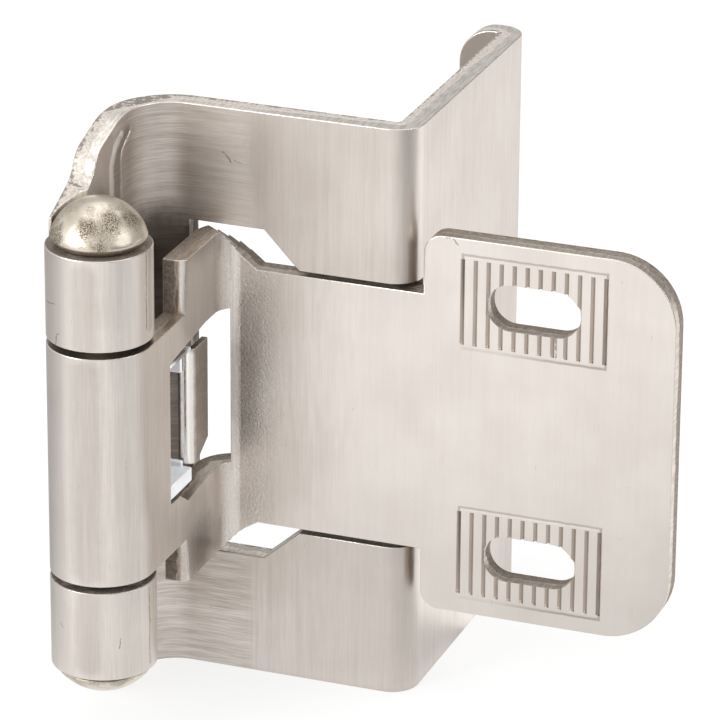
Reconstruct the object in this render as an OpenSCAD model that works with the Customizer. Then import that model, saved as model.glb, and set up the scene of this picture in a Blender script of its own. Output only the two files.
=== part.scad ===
// Full wrap, self-closing cabinet hinge. The frame wing wraps a face frame on
// three sides, the door wing nests in its window, and both curl round one pin.

/* [Sheet and barrel] */
// Thickness of the sheet that both wings are folded from
sheet_t = 1.6; // [1.2:0.1:2]
// Outside diameter of the rolled barrel
barrel_d = 7; // [6.4:0.1:8]
// Length of the barrel over its three knuckles
barrel_len = 29.4; // [27:0.1:32]
// Length of the door wing's middle knuckle
middle_len = 16; // [15:0.1:17.5]
// Gap between two knuckles
knuckle_gap = 0.45; // [0.3:0.05:0.6]
// Radial play of the pin in the knuckles
pin_play = 0.05; // [0.03:0.01:0.08]

/* [Frame wing] */
// Pin centre to the front of the face plate
plate_y = 12.5; // [11:0.1:14]
// Full height of the face plate and the edge plate
plate_h = 40.4; // [38:0.2:44]
// Pin centre to the outer face of the edge plate
edge_x = 16.9; // [16:0.1:18]
// Depth of the channel that takes the face frame
channel_d = 19.8; // [19.2:0.1:21]
// Length of the lip behind the face frame
lip_len = 4.5; // [3.5:0.1:6]
// Rounding of the lip's corners
lip_corner_r = 2.4; // [1.5:0.1:2.6]
// Inside radius of the bend between web and face plate
wide_bend_r = 3; // [2.2:0.1:3.4]
// Inside radius of the two square bends
tight_bend_r = 0.3; // [0.2:0.05:0.6]
// Height of the web beside the pin's head, above the middle
web_root_z = 15.9; // [15.3:0.1:16.3]
// Height of the web in front of its step
web_step_z = 17.5; // [16.8:0.1:17.8]
// Pin centre to the foot of the web's step
web_step_y = 3.6; // [3.5:0.1:4.2]
// Height of the web's shoulder above the middle
shoulder_z = 19; // [18.4:0.1:19.6]
// Length from the step's foot to the full height
shoulder_run = 4.5; // [3:0.1:5]
// Diameter of the two screw holes in the edge plate
screw_hole_d = 4; // [3.4:0.1:4.6]
// Distance between the two screw holes
screw_pitch = 11; // [10:0.1:14]

/* [Window for the door wing] */
// Pin centre to the window's left edge
window_x = 1.1; // [1.1:0.05:1.3]
// Height of the window's tall part above the middle
window_top_z = 12.05; // [11.8:0.05:13]
// Depth of the window's tall part below the middle
window_bottom_z = 11.65; // [11.4:0.05:13]
// Width of the window's tall part
window_tall_w = 5.3; // [5:0.1:6]
// Run of the window's slanting sides
window_slant = 2.5; // [2.2:0.1:3]
// Gap round the door wing's neck
neck_gap = 0.3; // [0.2:0.05:0.5]

/* [Door wing] */
// Height of the neck between web and flange
neck_h = 18.3; // [17:0.1:19]
// Pin centre to the flange's left edge
flange_x = 17.6; // [17.4:0.1:19]
// Width of the flange that is screwed to the door
flange_w = 17.3; // [16:0.1:20]
// Height of the flange
flange_h = 26.7; // [25:0.1:29]
// Rounding of the flange's outer corners
outer_corner_r = 4.5; // [3:0.1:6]
// Rounding of the flange's inner corners
inner_corner_r = 1.3; // [0.8:0.1:2]
// Inside radius of the door wing's bend
door_bend_r = 1.3; // [0.9:0.1:1.6]
// Height of the upper ear above the middle
ear_top_z = 11.75; // [10.5:0.05:11.75]
// Depth of the lower ear below the middle
ear_bottom_z = 11.2; // [10.2:0.05:11.3]
// Pin centre to the ears' front edge
ear_y = 5.9; // [4.8:0.1:6.2]
// Turn of the bend where the ears' slope starts, in degrees
ear_slope_start = 30; // [20:5:45]
// Pin centre to the foot of the ears' slope on the neck
ear_foot_x = 5.9; // [5.4:0.1:6.4]

/* [Slots] */
// Length of an adjusting slot
slot_l = 6.4; // [5.6:0.1:7.2]
// Width of an adjusting slot
slot_w = 3.2; // [2.8:0.1:3.6]
// Distance between the two slots
slot_pitch = 17.9; // [17:0.1:18.8]
// Flange's left edge to the middle of the slots
slot_inset = 7.6; // [7:0.1:9]
// Width of a serrated pad
pad_w = 9.8; // [8.6:0.1:10.4]
// Height of a serrated pad
pad_h = 6; // [5:0.1:6.4]
// Grooves in one pad
groove_count = 12; // [9:1:13]
// Depth of a groove
groove_depth = 0.22; // [0.1:0.02:0.3]
// Width of a groove at the surface
groove_w = 0.3; // [0.2:0.02:0.4]

/* [Self-closing spring] */
// Thickness of the spring strip
spring_t = 0.45; // [0.35:0.05:0.5]
// Width of the spring's folded nose
nose_w = 1.25; // [1.2:0.05:1.3]
// Pin centre to the front of the nose
nose_y = 7.2; // [7:0.05:7.5]
// Pin centre to the end of the short leg
short_leg_y = 9.9; // [9.6:0.1:10.2]
// Pin centre to the end of the long leg
long_leg_y = 11.2; // [10.9:0.1:11.4]
// Top of the nose above the middle
nose_top_z = 5; // [4.8:0.05:5]
// Bottom of the nose below the middle
nose_bottom_z = 3.2; // [2.8:0.05:3.2]
// Height of the cross head that seats behind the web
cross_head_h = 15; // [14:0.1:16]

/* [Pin and follower] */
// Diameter of the pin's domed head
head_d = 6.4; // [6:0.1:6.8]
// Height of the head's rim
head_rim_h = 0.55; // [0.3:0.05:0.6]
// Undercut of the rim where it meets the barrel
head_undercut = 0.5; // [0.2:0.05:0.8]
// Height of the head's dome
head_dome_h = 2.5; // [1.8:0.1:2.6]
// Height of the riveted end's dome
rivet_dome_h = 1.7; // [1.2:0.1:2.2]
// Top of the follower above the middle
follower_top_z = 5.35; // [5.2:0.05:5.4]
// Bottom of the follower below the middle
follower_bottom_z = 4.25; // [4:0.05:4.3]
// Depth of the pin's flat, which is the follower's travel
follower_travel = 0.35; // [0.2:0.05:0.35]

/* [Hidden] */
$fn = 96;

steel = [0.82, 0.79, 0.76];
pin_steel = [0.86, 0.80, 0.72];
spring_steel = [0.62, 0.57, 0.52];
nylon = [0.93, 0.94, 0.94];

// One overrun serves every cut
cut = 0.5;

barrel_r = barrel_d / 2;
bore_r = barrel_r - sheet_t;
pin_r = bore_r - pin_play;
outer_len = (barrel_len - middle_len) / 2 - knuckle_gap;
seam_gap = 0.35;

plate_back_y = plate_y + sheet_t;
plate_top_z = plate_h / 2;
tight_outer_r = tight_bend_r + sheet_t;
lip_y = plate_back_y + channel_d;
lip_back_y = lip_y + sheet_t;
neck_z = neck_h / 2;
low_window_z = neck_z + neck_gap;
web_step_run = 2 * seam_gap;
middle_notch_y = web_step_y + web_step_run;
middle_notch_z = middle_len / 2 + knuckle_gap;

// The holes stand midway along the edge plate
screw_y = (plate_back_y + lip_y) / 2;
seat_x = edge_x - sheet_t;

bend_x = barrel_r + door_bend_r;
bend_y = plate_y - door_bend_r;
flange_end_x = flange_x + flange_w;
flange_z = flange_h / 2;
slot_x = flange_x + slot_inset;
slot_z = slot_pitch / 2;

// The ears' slope runs down round the bend and on to the neck
slope_wedges = 4;
wedge_turn = (90 - ear_slope_start) / slope_wedges;
wedge_overlap = 1;
bend_mid_r = door_bend_r + sheet_t / 2;
slope_bend_run = bend_mid_r * (90 - ear_slope_start) * PI / 180;
slope_run = slope_bend_run + ear_foot_x - bend_x;
function slope_z(tip_z, run) = tip_z - (tip_z - neck_z) * run / slope_run;

// Window in the door wing's web, for the spring and its follower
spring_window_y = 3.3;
spring_window_front_top = 5.5;
spring_window_back_top = 6.2;
spring_window_back_y = 9.4;
spring_window_front_bottom = 4.45;
spring_window_sill_y = 4.9;
spring_window_low_y = 6.3;
spring_window_low = 5.35;
spring_window_back_bottom = 4.9;
spring_window_x = bore_r + 1.35 * sheet_t;

strip_gap = 0.05;
nose_x = barrel_r - strip_gap - nose_w / 2;
nose_centre_y = nose_y + nose_w / 2;
long_leg_x = bore_r - strip_gap - spring_t;
jog_y = nose_centre_y + nose_w;
jog_end_y = jog_y + nose_w / 2;
nose_chamfer = 1.1;

follower_gap = 0.1;
follower_left = bore_r - 3 * follower_gap;
follower_y = pin_r + follower_gap;
follower_right = bore_r / 2;
follower_back_y = nose_y - strip_gap;
follower_wall_x = nose_x - strip_gap;
follower_wall = 0.4;
follower_low_grip = 0.4;
follower_high_grip = 1.6;
follower_arm_x = barrel_r - follower_gap;
follower_arm_y = spring_window_y + follower_gap;
top_arm_t = follower_top_z - nose_top_z - strip_gap;
bottom_arm_t = follower_bottom_z - nose_bottom_z - strip_gap;

// Moves the hinge from its pin centre to the middle of the screw holes
module seated() {
  translate([-seat_x, -screw_y, 0])
    children();
}

// A quarter of a bend in plan: sx and sy name the quadrant
module quarter_bend(x, y, inner_r, sx, sy) {
  outer_r = inner_r + sheet_t;
  translate([x, y])
    intersection() {
      difference() {
        circle(r = outer_r);
        circle(r = inner_r);
      }
      polygon([[0, 0], [sx * outer_r, 0], [sx * outer_r, sy * outer_r], [0, sy * outer_r]]);
    }
}

// A rolled knuckle in plan, with the web on the side that side names
module curl(side, opening) {
  difference() {
    circle(r = barrel_r);
    circle(r = bore_r);
    translate([side > 0 ? bore_r - opening : -bore_r, 0])
      square([opening, barrel_r + cut]);
  }
}

module knuckle(side, opening, z, height) {
  translate([0, 0, z])
    linear_extrude(height = height)
      curl(side, opening);
}

// Turns an outline drawn in x and z into a cutter that runs along y
module along_y(from, to) {
  translate([0, to, 0])
    rotate([90, 0, 0])
      linear_extrude(height = to - from)
        children();
}

// Turns an outline drawn in y and z into a cutter that runs along x
module along_x(from, to) {
  translate([from, 0, 0])
    rotate([90, 0, 90])
      linear_extrude(height = to - from)
        children();
}

// A rectangle in x and z with the same rounding at all four corners
module rounded_rectangle(x0, z0, x1, z1, r) {
  translate([x0 + r, z0])
    square([x1 - x0 - 2 * r, z1 - z0]);
  translate([x0, z0 + r])
    square([x1 - x0, z1 - z0 - 2 * r]);
  for (x = [x0 + r, x1 - r], z = [z0 + r, z1 - r])
    translate([x, z])
      circle(r = r);
}

// Plan of the frame wing from its web to its lip
module frame_plan() {
  wide_x = -bore_r + wide_bend_r;
  wide_y = plate_y - wide_bend_r;
  tight_x = edge_x - tight_outer_r;
  translate([-barrel_r, 0])
    square([sheet_t, wide_y]);
  quarter_bend(wide_x, wide_y, wide_bend_r, -1, 1);
  translate([wide_x, plate_y])
    square([tight_x - wide_x, sheet_t]);
  quarter_bend(tight_x, plate_y + tight_outer_r, tight_bend_r, 1, -1);
  translate([seat_x, plate_y + tight_outer_r])
    square([sheet_t, lip_back_y - plate_y - 2 * tight_outer_r]);
  quarter_bend(tight_x, lip_back_y - tight_outer_r, tight_bend_r, 1, 1);
  translate([edge_x - lip_len, lip_y])
    square([lip_len - tight_outer_r, sheet_t]);
}

// The web's side view: a step behind the pin head and a rising shoulder
module frame_web_outline() {
  far_y = lip_back_y + cut;
  outer_z = barrel_len / 2;
  upper = [
    [-cut, outer_z], [0, outer_z], [0, web_root_z], [web_step_y, web_step_z],
    [web_step_y + web_step_run, shoulder_z], [web_step_y + shoulder_run, plate_top_z],
    [far_y, plate_top_z]
  ];
  polygon(concat(upper, [for (i = [len(upper) - 1:-1:0]) [upper[i][0], -upper[i][1]]]));
}

// The stepped window, which runs on round the square bend
module door_window_outline() {
  tall_x = window_x + window_tall_w;
  slant_x = tall_x + window_slant;
  end_x = edge_x + cut;
  polygon([
    [window_x, -window_bottom_z], [tall_x, -window_bottom_z], [slant_x, -low_window_z],
    [end_x, -low_window_z], [end_x, low_window_z], [slant_x, low_window_z],
    [tall_x, window_top_z], [window_x, window_top_z]
  ]);
}

// What is cut off the lip to round its free corners
module lip_corner_waste() {
  start_x = edge_x - lip_len;
  for (side = [-1, 1])
    translate([start_x + lip_corner_r, side * (plate_top_z - lip_corner_r)])
      difference() {
        polygon([[-lip_corner_r - cut, 0], [0, 0], [0, side * (lip_corner_r + cut)],
                 [-lip_corner_r - cut, side * (lip_corner_r + cut)]]);
        circle(r = lip_corner_r);
      }
}

module frame_wing() {
  color(steel)
    seated()
      difference() {
        union() {
          intersection() {
            translate([0, 0, -plate_top_z])
              linear_extrude(height = plate_h)
                frame_plan();
            along_x(-barrel_r - cut, edge_x + cut)
              frame_web_outline();
          }
          for (side = [-1, 1])
            knuckle(-1, seam_gap, side > 0 ? middle_notch_z : -barrel_len / 2, outer_len);
        }
        // Clearance round the middle knuckle
        translate([-barrel_r - cut, -cut, -middle_notch_z])
          cube([sheet_t + 2 * cut, middle_notch_y + cut, 2 * middle_notch_z]);
        // Clearance round the pin's head and its riveted end
        for (side = [0, 1])
          mirror([0, 0, side])
            translate([0, 0, barrel_len / 2])
              cylinder(r = head_d / 2 + 2 * pin_play, h = plate_top_z);
        along_y(plate_y - cut, plate_back_y + neck_gap)
          door_window_outline();
        // Lip corners
        along_y(lip_y - tight_bend_r, lip_back_y + cut)
          lip_corner_waste();
        for (z = [-1, 1])
          translate([seat_x - cut, screw_y, z * screw_pitch / 2])
            rotate([0, 90, 0])
              cylinder(d = screw_hole_d, h = sheet_t + 2 * cut);
      }
}

// Plan of the door wing from its web to the flange's end
module door_plan() {
  translate([bore_r, 0])
    square([sheet_t, bend_y]);
  quarter_bend(bend_x, bend_y, door_bend_r, -1, 1);
  translate([bend_x, plate_y])
    square([flange_end_x - bend_x, sheet_t]);
}

// The web's side view: level with the middle knuckle, then two ears
module door_web_outline() {
  far_y = plate_back_y + cut;
  half = middle_len / 2;
  polygon([
    [-cut, -half], [ear_y, -half], [ear_y, -ear_bottom_z], [far_y, -ear_bottom_z],
    [far_y, ear_top_z], [ear_y, ear_top_z], [ear_y, half], [-cut, half]
  ]);
}

// The plate's front view: the ends of the ears' slopes, neck and rounded flange
module door_plate_outline() {
  polygon([
    [0, -ear_bottom_z], [bend_x, -ear_bottom_z], [bend_x, -slope_z(ear_bottom_z, slope_bend_run)],
    [ear_foot_x, -neck_z], [flange_x + inner_corner_r, -neck_z],
    [flange_x + inner_corner_r, neck_z], [ear_foot_x, neck_z],
    [bend_x, slope_z(ear_top_z, slope_bend_run)], [bend_x, ear_top_z], [0, ear_top_z]
  ]);
  flange_outline();
}

// What the slope takes off an ear round the bend, in wedges square to the sheet
module ear_slope_waste(tip_z) {
  reach = door_bend_r + sheet_t + cut;
  wide = reach * tan(wedge_turn / 2 + wedge_overlap);
  fall = (tip_z - neck_z) / slope_run;
  for (turn = [wedge_turn / 2:wedge_turn:90 - ear_slope_start]) {
    mid_z = slope_z(tip_z, bend_mid_r * turn * PI / 180);
    translate([bend_x, bend_y, 0])
      rotate([0, 0, 180 - ear_slope_start - turn])
        intersection() {
          linear_extrude(height = tip_z + cut)
            polygon([[0, 0], [reach, -wide], [reach, wide]]);
          along_x(0, reach + cut)
            polygon([[-wide, mid_z - fall * wide], [wide, mid_z + fall * wide],
                     [wide, tip_z + 2 * cut], [-wide, tip_z + 2 * cut]]);
        }
  }
}

// The flange's front view, with small corners at the neck and large ones outside
module flange_outline() {
  inner_x = flange_x + inner_corner_r;
  outer_x = flange_end_x - outer_corner_r;
  translate([inner_x, -flange_z])
    square([outer_x - inner_x, flange_h]);
  translate([flange_x, inner_corner_r - flange_z])
    square([flange_w / 2, flange_h - 2 * inner_corner_r]);
  translate([flange_x + flange_w / 2, outer_corner_r - flange_z])
    square([flange_w / 2, flange_h - 2 * outer_corner_r]);
  for (side = [-1, 1]) {
    translate([inner_x, side * (flange_z - inner_corner_r)])
      circle(r = inner_corner_r);
    translate([outer_x, side * (flange_z - outer_corner_r)])
      circle(r = outer_corner_r);
  }
}

// Side view of the spring's window; past the bend's start it is cut from the front
module spring_window_outline() {
  far_y = plate_back_y + cut;
  polygon([
    [spring_window_y, -spring_window_front_bottom],
    [spring_window_sill_y, -spring_window_front_bottom],
    [spring_window_low_y, -spring_window_low],
    [bend_y - door_bend_r, -spring_window_back_bottom],
    [far_y, -spring_window_back_bottom],
    [far_y, spring_window_back_top],
    [spring_window_back_y, spring_window_back_top],
    [spring_window_y, spring_window_front_top]
  ]);
}

// Adjusting slot in front view, along x
module slot_outline() {
  run = (slot_l - slot_w) / 2;
  translate([-run, -slot_w / 2])
    square([2 * run, slot_w]);
  for (side = [-1, 1])
    translate([side * run, 0])
      circle(d = slot_w);
}

// One row of upright grooves pressed in the flange's face
module pad_grooves() {
  pitch = pad_w / (groove_count - 1);
  for (i = [0:groove_count - 1])
    translate([i * pitch - pad_w / 2, 0, -pad_h / 2])
      linear_extrude(height = pad_h)
        polygon([[-groove_w / 2, -cut], [groove_w / 2, -cut], [groove_w / 2, 0],
                 [0, groove_depth], [-groove_w / 2, 0]]);
}

module door_wing() {
  color(steel)
    seated()
      difference() {
        union() {
          intersection() {
            translate([0, 0, -flange_z])
              linear_extrude(height = flange_h)
                door_plan();
            along_x(bore_r - cut, flange_end_x + cut)
              union() {
                door_web_outline();
                // The plate is trimmed by its own outline
                translate([plate_y, -flange_z])
                  square([sheet_t + cut, flange_h]);
              }
            along_y(-cut, plate_back_y + cut)
              door_plate_outline();
          }
          knuckle(1, seam_gap, -middle_len / 2, middle_len);
        }
        ear_slope_waste(ear_top_z);
        mirror([0, 0, 1])
          ear_slope_waste(ear_bottom_z);
        // Opening in the curl's back for the follower
        translate([-bore_r, 0, -follower_bottom_z - follower_gap])
          cube([2 * bore_r, barrel_r + cut, follower_bottom_z + follower_top_z + 2 * follower_gap]);
        intersection() {
          along_x(bore_r - cut, spring_window_x)
            spring_window_outline();
          along_y(0, plate_back_y + cut)
            rounded_rectangle(-cut, -spring_window_low - cut, spring_window_x,
                              spring_window_back_top + cut, door_bend_r / 2);
        }
        for (z = [-1, 1])
          translate([slot_x, 0, z * slot_z]) {
            along_y(plate_y - cut, plate_back_y + cut)
              slot_outline();
            translate([0, plate_y, 0])
              pad_grooves();
          }
      }
}

// An undercut rim with a dome on it, standing on z = 0
module rivet_head(rim_h, dome_h) {
  radius = head_d / 2;
  ball_r = (radius * radius + dome_h * dome_h) / (2 * dome_h);
  intersection() {
    union() {
      cylinder(r1 = radius - head_undercut, r2 = radius, h = rim_h);
      translate([0, 0, rim_h])
        cylinder(r = radius, h = dome_h + cut);
    }
    translate([0, 0, rim_h + dome_h - ball_r])
      sphere(r = ball_r);
  }
}

module hinge_pin() {
  color(pin_steel)
    seated() {
      difference() {
        translate([0, 0, -barrel_len / 2 - head_rim_h / 2])
          cylinder(r = pin_r, h = barrel_len + head_rim_h);
        translate([-pin_r - cut, pin_r - follower_travel, -follower_bottom_z - follower_gap])
          cube([2 * (pin_r + cut), follower_travel + cut,
                follower_bottom_z + follower_top_z + 2 * follower_gap]);
      }
      translate([0, 0, barrel_len / 2])
        rivet_head(head_rim_h, head_dome_h);
      translate([0, 0, -barrel_len / 2])
        mirror([0, 0, 1])
          rivet_head(head_rim_h / 2, rivet_dome_h);
    }
}

// Plan of the folded strip: nose, short leg and long leg with its jog
module strip_plan() {
  inner = nose_w / 2 - spring_t;
  translate([nose_x, nose_centre_y])
    intersection() {
      difference() {
        circle(d = nose_w);
        circle(r = inner);
      }
      translate([-nose_w, -nose_w])
        square([2 * nose_w, nose_w]);
    }
  translate([nose_x + inner, nose_centre_y])
    square([spring_t, short_leg_y - nose_centre_y]);
  long_x = nose_x - nose_w / 2;
  polygon([
    [long_x, nose_centre_y], [long_x + spring_t, nose_centre_y],
    [long_x + spring_t, jog_y], [long_leg_x + spring_t, jog_end_y],
    [long_leg_x + spring_t, long_leg_y], [long_leg_x, long_leg_y],
    [long_leg_x, jog_end_y], [long_x, jog_y]
  ]);
}

// The strip's side view, with a cross head at the end of the long leg
module strip_outline() {
  head_z = cross_head_h / 2;
  head_y = short_leg_y + strip_gap;
  polygon([
    [nose_y - cut, -nose_bottom_z], [jog_y - nose_chamfer, -nose_bottom_z],
    [head_y, nose_chamfer - nose_bottom_z], [head_y, -head_z], [long_leg_y + cut, -head_z],
    [long_leg_y + cut, head_z], [head_y, head_z], [head_y, nose_top_z],
    [nose_y - cut, nose_top_z]
  ]);
}

module closer_spring() {
  color(spring_steel)
    seated()
      intersection() {
        translate([0, 0, -cross_head_h])
          linear_extrude(height = 2 * cross_head_h)
            strip_plan();
        along_x(-barrel_r, barrel_r + cut)
          strip_outline();
      }
}

module cam_follower() {
  full_h = follower_bottom_z + follower_top_z;
  color(nylon)
    seated()
      translate([0, 0, -follower_bottom_z]) {
        translate([-follower_left, follower_y, 0])
          cube([follower_left + follower_right, follower_back_y - follower_y, full_h]);
        difference() {
          translate([0, follower_back_y - follower_wall, 0])
            cube([follower_wall_x, follower_wall, full_h]);
          // The wall is open between the two ends that the spring presses on
          translate([bore_r - pin_play, 0, bottom_arm_t + follower_low_grip])
            cube([follower_wall_x, follower_back_y + cut,
                  full_h - bottom_arm_t - top_arm_t - follower_low_grip - follower_high_grip]);
        }
        for (arm = [[0, bottom_arm_t], [full_h - top_arm_t, top_arm_t]])
          translate([0, follower_arm_y, arm[0]])
            cube([follower_arm_x, follower_back_y - follower_arm_y, arm[1]]);
      }
}

frame_wing();
door_wing();
hinge_pin();
closer_spring();
cam_follower();
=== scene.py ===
"""Looks of a full wrap cabinet hinge: satin nickel wings, a bright riveted pin, a spring and its nylon follower."""

import logging
import math
from dataclasses import dataclass
from enum import Enum

import bmesh
import bpy
from mathutils import Matrix, Vector


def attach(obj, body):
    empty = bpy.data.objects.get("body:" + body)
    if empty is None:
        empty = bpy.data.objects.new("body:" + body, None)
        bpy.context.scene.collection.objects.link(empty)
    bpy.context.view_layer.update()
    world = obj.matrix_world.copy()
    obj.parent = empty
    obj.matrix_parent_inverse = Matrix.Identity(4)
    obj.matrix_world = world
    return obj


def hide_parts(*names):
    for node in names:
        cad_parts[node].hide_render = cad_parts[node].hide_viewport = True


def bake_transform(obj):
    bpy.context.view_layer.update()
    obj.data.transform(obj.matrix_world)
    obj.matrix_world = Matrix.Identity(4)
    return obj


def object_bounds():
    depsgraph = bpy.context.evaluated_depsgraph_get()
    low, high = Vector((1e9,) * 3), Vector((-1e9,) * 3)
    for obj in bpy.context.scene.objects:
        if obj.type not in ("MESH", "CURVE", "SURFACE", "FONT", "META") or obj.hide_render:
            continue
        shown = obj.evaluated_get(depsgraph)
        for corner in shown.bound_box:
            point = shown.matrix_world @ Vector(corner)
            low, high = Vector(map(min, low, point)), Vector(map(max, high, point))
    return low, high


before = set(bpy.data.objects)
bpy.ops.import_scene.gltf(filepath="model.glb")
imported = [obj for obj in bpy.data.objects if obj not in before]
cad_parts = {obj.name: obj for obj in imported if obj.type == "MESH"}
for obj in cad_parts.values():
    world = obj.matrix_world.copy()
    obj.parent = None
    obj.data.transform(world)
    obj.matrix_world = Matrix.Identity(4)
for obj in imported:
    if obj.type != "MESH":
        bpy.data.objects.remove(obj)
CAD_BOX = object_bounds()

log = logging.getLogger("hinge")

MM = 0.001
# The pin's centre line stands here in the row frame, in millimetres
PIN_X = -15.3
PIN_Y = -24.0
SHEET_T = 1.6
BARREL_R = 3.5
BORE_R = BARREL_R - SHEET_T
PLATE_Y = 12.5
EDGE_X = 16.9
CHANNEL_D = 19.8

Point = tuple[float, float, float]
Colour = tuple[float, float, float]
Value = bpy.types.NodeSocket | float | Point


class Graph:
    """A node tree with short calls for the steps that the finishes share."""

    def __init__(self, tree: bpy.types.NodeTree) -> None:
        """Takes over a tree and empties it."""
        self.tree = tree
        self.tree.nodes.clear()

    def node(self, kind: str, **settings: object) -> bpy.types.Node:
        """Adds a node and sets its properties."""
        made = self.tree.nodes.new(kind)
        for name, value in settings.items():
            setattr(made, name, value)
        return made

    def feed(self, socket: bpy.types.NodeSocket, value: Value) -> None:
        """Links a socket to another, or sets it to a plain value.

        Args:
            socket: The input that is fed.
            value: An output socket, a number or a colour.
        """
        if isinstance(value, bpy.types.NodeSocket):
            self.tree.links.new(value, socket)
        elif isinstance(value, tuple) and socket.type == "RGBA":
            socket.default_value = (*value, 1.0)
        else:
            socket.default_value = value

    def number(self, operation: str, *values: Value, clamp: bool = False) -> bpy.types.NodeSocket:
        """A Math node.

        Args:
            operation: The node's operation.
            values: Its inputs, in order.
            clamp: Whether the result is kept from 0 to 1.

        Returns:
            The result's socket.
        """
        made = self.node("ShaderNodeMath", operation=operation, use_clamp=clamp)
        for socket, value in zip(made.inputs, values):
            self.feed(socket, value)
        return made.outputs[0]

    def vector(self, operation: str, *values: Value) -> bpy.types.Node:
        """A Vector Math node, whose inputs are fed in order."""
        made = self.node("ShaderNodeVectorMath", operation=operation)
        for socket, value in zip(made.inputs, values):
            self.feed(socket, value)
        return made

    def ramp(self, value: Value, low: float, high: float, to_low: float = 0.0, to_high: float = 1.0) -> bpy.types.NodeSocket:
        """A smooth step from one value to another.

        Args:
            value: What is read.
            low: Where the step starts.
            high: Where it ends.
            to_low: The result before the start.
            to_high: The result after the end.

        Returns:
            The result's socket.
        """
        made = self.node("ShaderNodeMapRange", interpolation_type="SMOOTHSTEP")
        for name, given in (("Value", value), ("From Min", low), ("From Max", high), ("To Min", to_low), ("To Max", to_high)):
            self.feed(made.inputs[name], given)
        return made.outputs["Result"]

    def noise(self, place: Value, scale: float, detail: float = 2.0, roughness: float = 0.5) -> bpy.types.NodeSocket:
        """Noise from 0 to 1 at a place, with so many features to its unit."""
        made = self.node("ShaderNodeTexNoise")
        for name, given in (("Vector", place), ("Scale", scale), ("Detail", detail), ("Roughness", roughness)):
            self.feed(made.inputs[name], given)
        return made.outputs["Fac"]

    def mix(self, share: Value, first: Value, second: Value) -> bpy.types.NodeSocket:
        """A colour between two others."""
        made = self.node("ShaderNodeMix", data_type="RGBA")
        self.feed(made.inputs[0], share)
        self.feed(made.inputs[6], first)
        self.feed(made.inputs[7], second)
        return made.outputs[2]

    def blend(self, share: Value, first: Value, second: Value) -> bpy.types.NodeSocket:
        """A number between two others."""
        made = self.node("ShaderNodeMix", data_type="FLOAT")
        self.feed(made.inputs[0], share)
        self.feed(made.inputs[2], first)
        self.feed(made.inputs[3], second)
        return made.outputs[0]

    def place(self) -> bpy.types.NodeSocket:
        """The surface's own place in the row frame, in millimetres."""
        here = self.node("ShaderNodeTexCoord")
        made = self.vector("SCALE", here.outputs["Object"])
        made.inputs["Scale"].default_value = 1.0 / MM
        return made.outputs[0]

    def mark(self, name: str) -> bpy.types.NodeSocket:
        """A number that the mesh carries under a name."""
        return self.node("ShaderNodeAttribute", attribute_name=name).outputs["Fac"]

    def group(self, tree: bpy.types.NodeTree, **values: Value) -> bpy.types.Node:
        """Places a node group.

        Args:
            tree: The group.
            values: Its inputs by name, with spaces as underscores.

        Returns:
            The placed node.
        """
        made = self.node("ShaderNodeGroup", node_tree=tree)
        for name, value in values.items():
            self.feed(made.inputs[name.replace("_", " ")], value)
        return made


class Group(Graph):
    """A node group with named inputs and outputs."""

    def __init__(self, name: str, inputs: dict[str, Value], outputs: list[str]) -> None:
        """Makes the group and its sockets.

        Args:
            name: The group's name.
            inputs: Each input's first value. Three numbers make a vector.
            outputs: The names of what it puts out, all of them numbers.
        """
        super().__init__(bpy.data.node_groups.new(name, "ShaderNodeTree"))
        for label, value in inputs.items():
            kind = "NodeSocketVector" if isinstance(value, tuple) else "NodeSocketFloat"
            socket = self.tree.interface.new_socket(label, in_out="INPUT", socket_type=kind)
            socket.default_value = value
        for label in outputs:
            self.tree.interface.new_socket(label, in_out="OUTPUT", socket_type="NodeSocketFloat")
        self.given = self.node("NodeGroupInput").outputs
        self.result = self.node("NodeGroupOutput").inputs


def brushed_grain() -> bpy.types.NodeTree:
    """Fine lines left by the brush, long in one direction.

    Returns:
        A group that takes how fast the pattern changes along each axis and puts out a shade, a roughness and a height.
    """
    made = Group("brushed_grain", {"Density": (9.0, 9.0, 0.35), "Depth": 0.0015}, ["Shade", "Roughness", "Height"])
    place = made.vector("MULTIPLY", made.place(), made.given["Density"]).outputs[0]
    fine = made.noise(place, 1.0, detail=3.0, roughness=0.6)
    broad = made.noise(place, 0.23, detail=1.0)
    lines = made.blend(0.35, fine, broad)
    made.feed(made.result["Shade"], made.ramp(lines, 0.3, 0.7, -1.0, 1.0))
    made.feed(made.result["Roughness"], made.ramp(fine, 0.35, 0.65, -1.0, 1.0))
    made.feed(made.result["Height"], made.number("MULTIPLY", fine, made.given["Depth"]))
    return made.tree


def cloudy_tone() -> bpy.types.NodeTree:
    """Soft patches where the plating took a little differently.

    Returns:
        A group that takes the size of a patch and puts out a shade from -1 to 1.
    """
    made = Group("cloudy_tone", {"Patch": 5.0}, ["Shade"])
    scale = made.number("DIVIDE", 1.0, made.given["Patch"])
    made.feed(made.result["Shade"], made.ramp(made.noise(made.place(), scale, detail=3.0), 0.3, 0.7, -1.0, 1.0))
    return made.tree


def pitted_skin() -> bpy.types.NodeTree:
    """Small pits and specks under the plating.

    Returns:
        A group that takes a speck's size and how many there are, and puts out a mask and a height.
    """
    made = Group("pitted_skin", {"Speck": 0.3, "Share": 0.1, "Depth": 0.004}, ["Mask", "Height"])
    scale = made.number("DIVIDE", 1.0, made.given["Speck"])
    specks = made.noise(made.place(), scale, detail=3.0, roughness=0.65)
    edge = made.number("SUBTRACT", 0.75, made.number("MULTIPLY", made.given["Share"], 0.5))
    mask = made.ramp(specks, edge, made.number("ADD", edge, 0.06))
    made.feed(made.result["Mask"], mask)
    depth = made.number("MULTIPLY", made.given["Depth"], -1.0)
    made.feed(made.result["Height"], made.number("MULTIPLY", mask, depth))
    return made.tree


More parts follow.
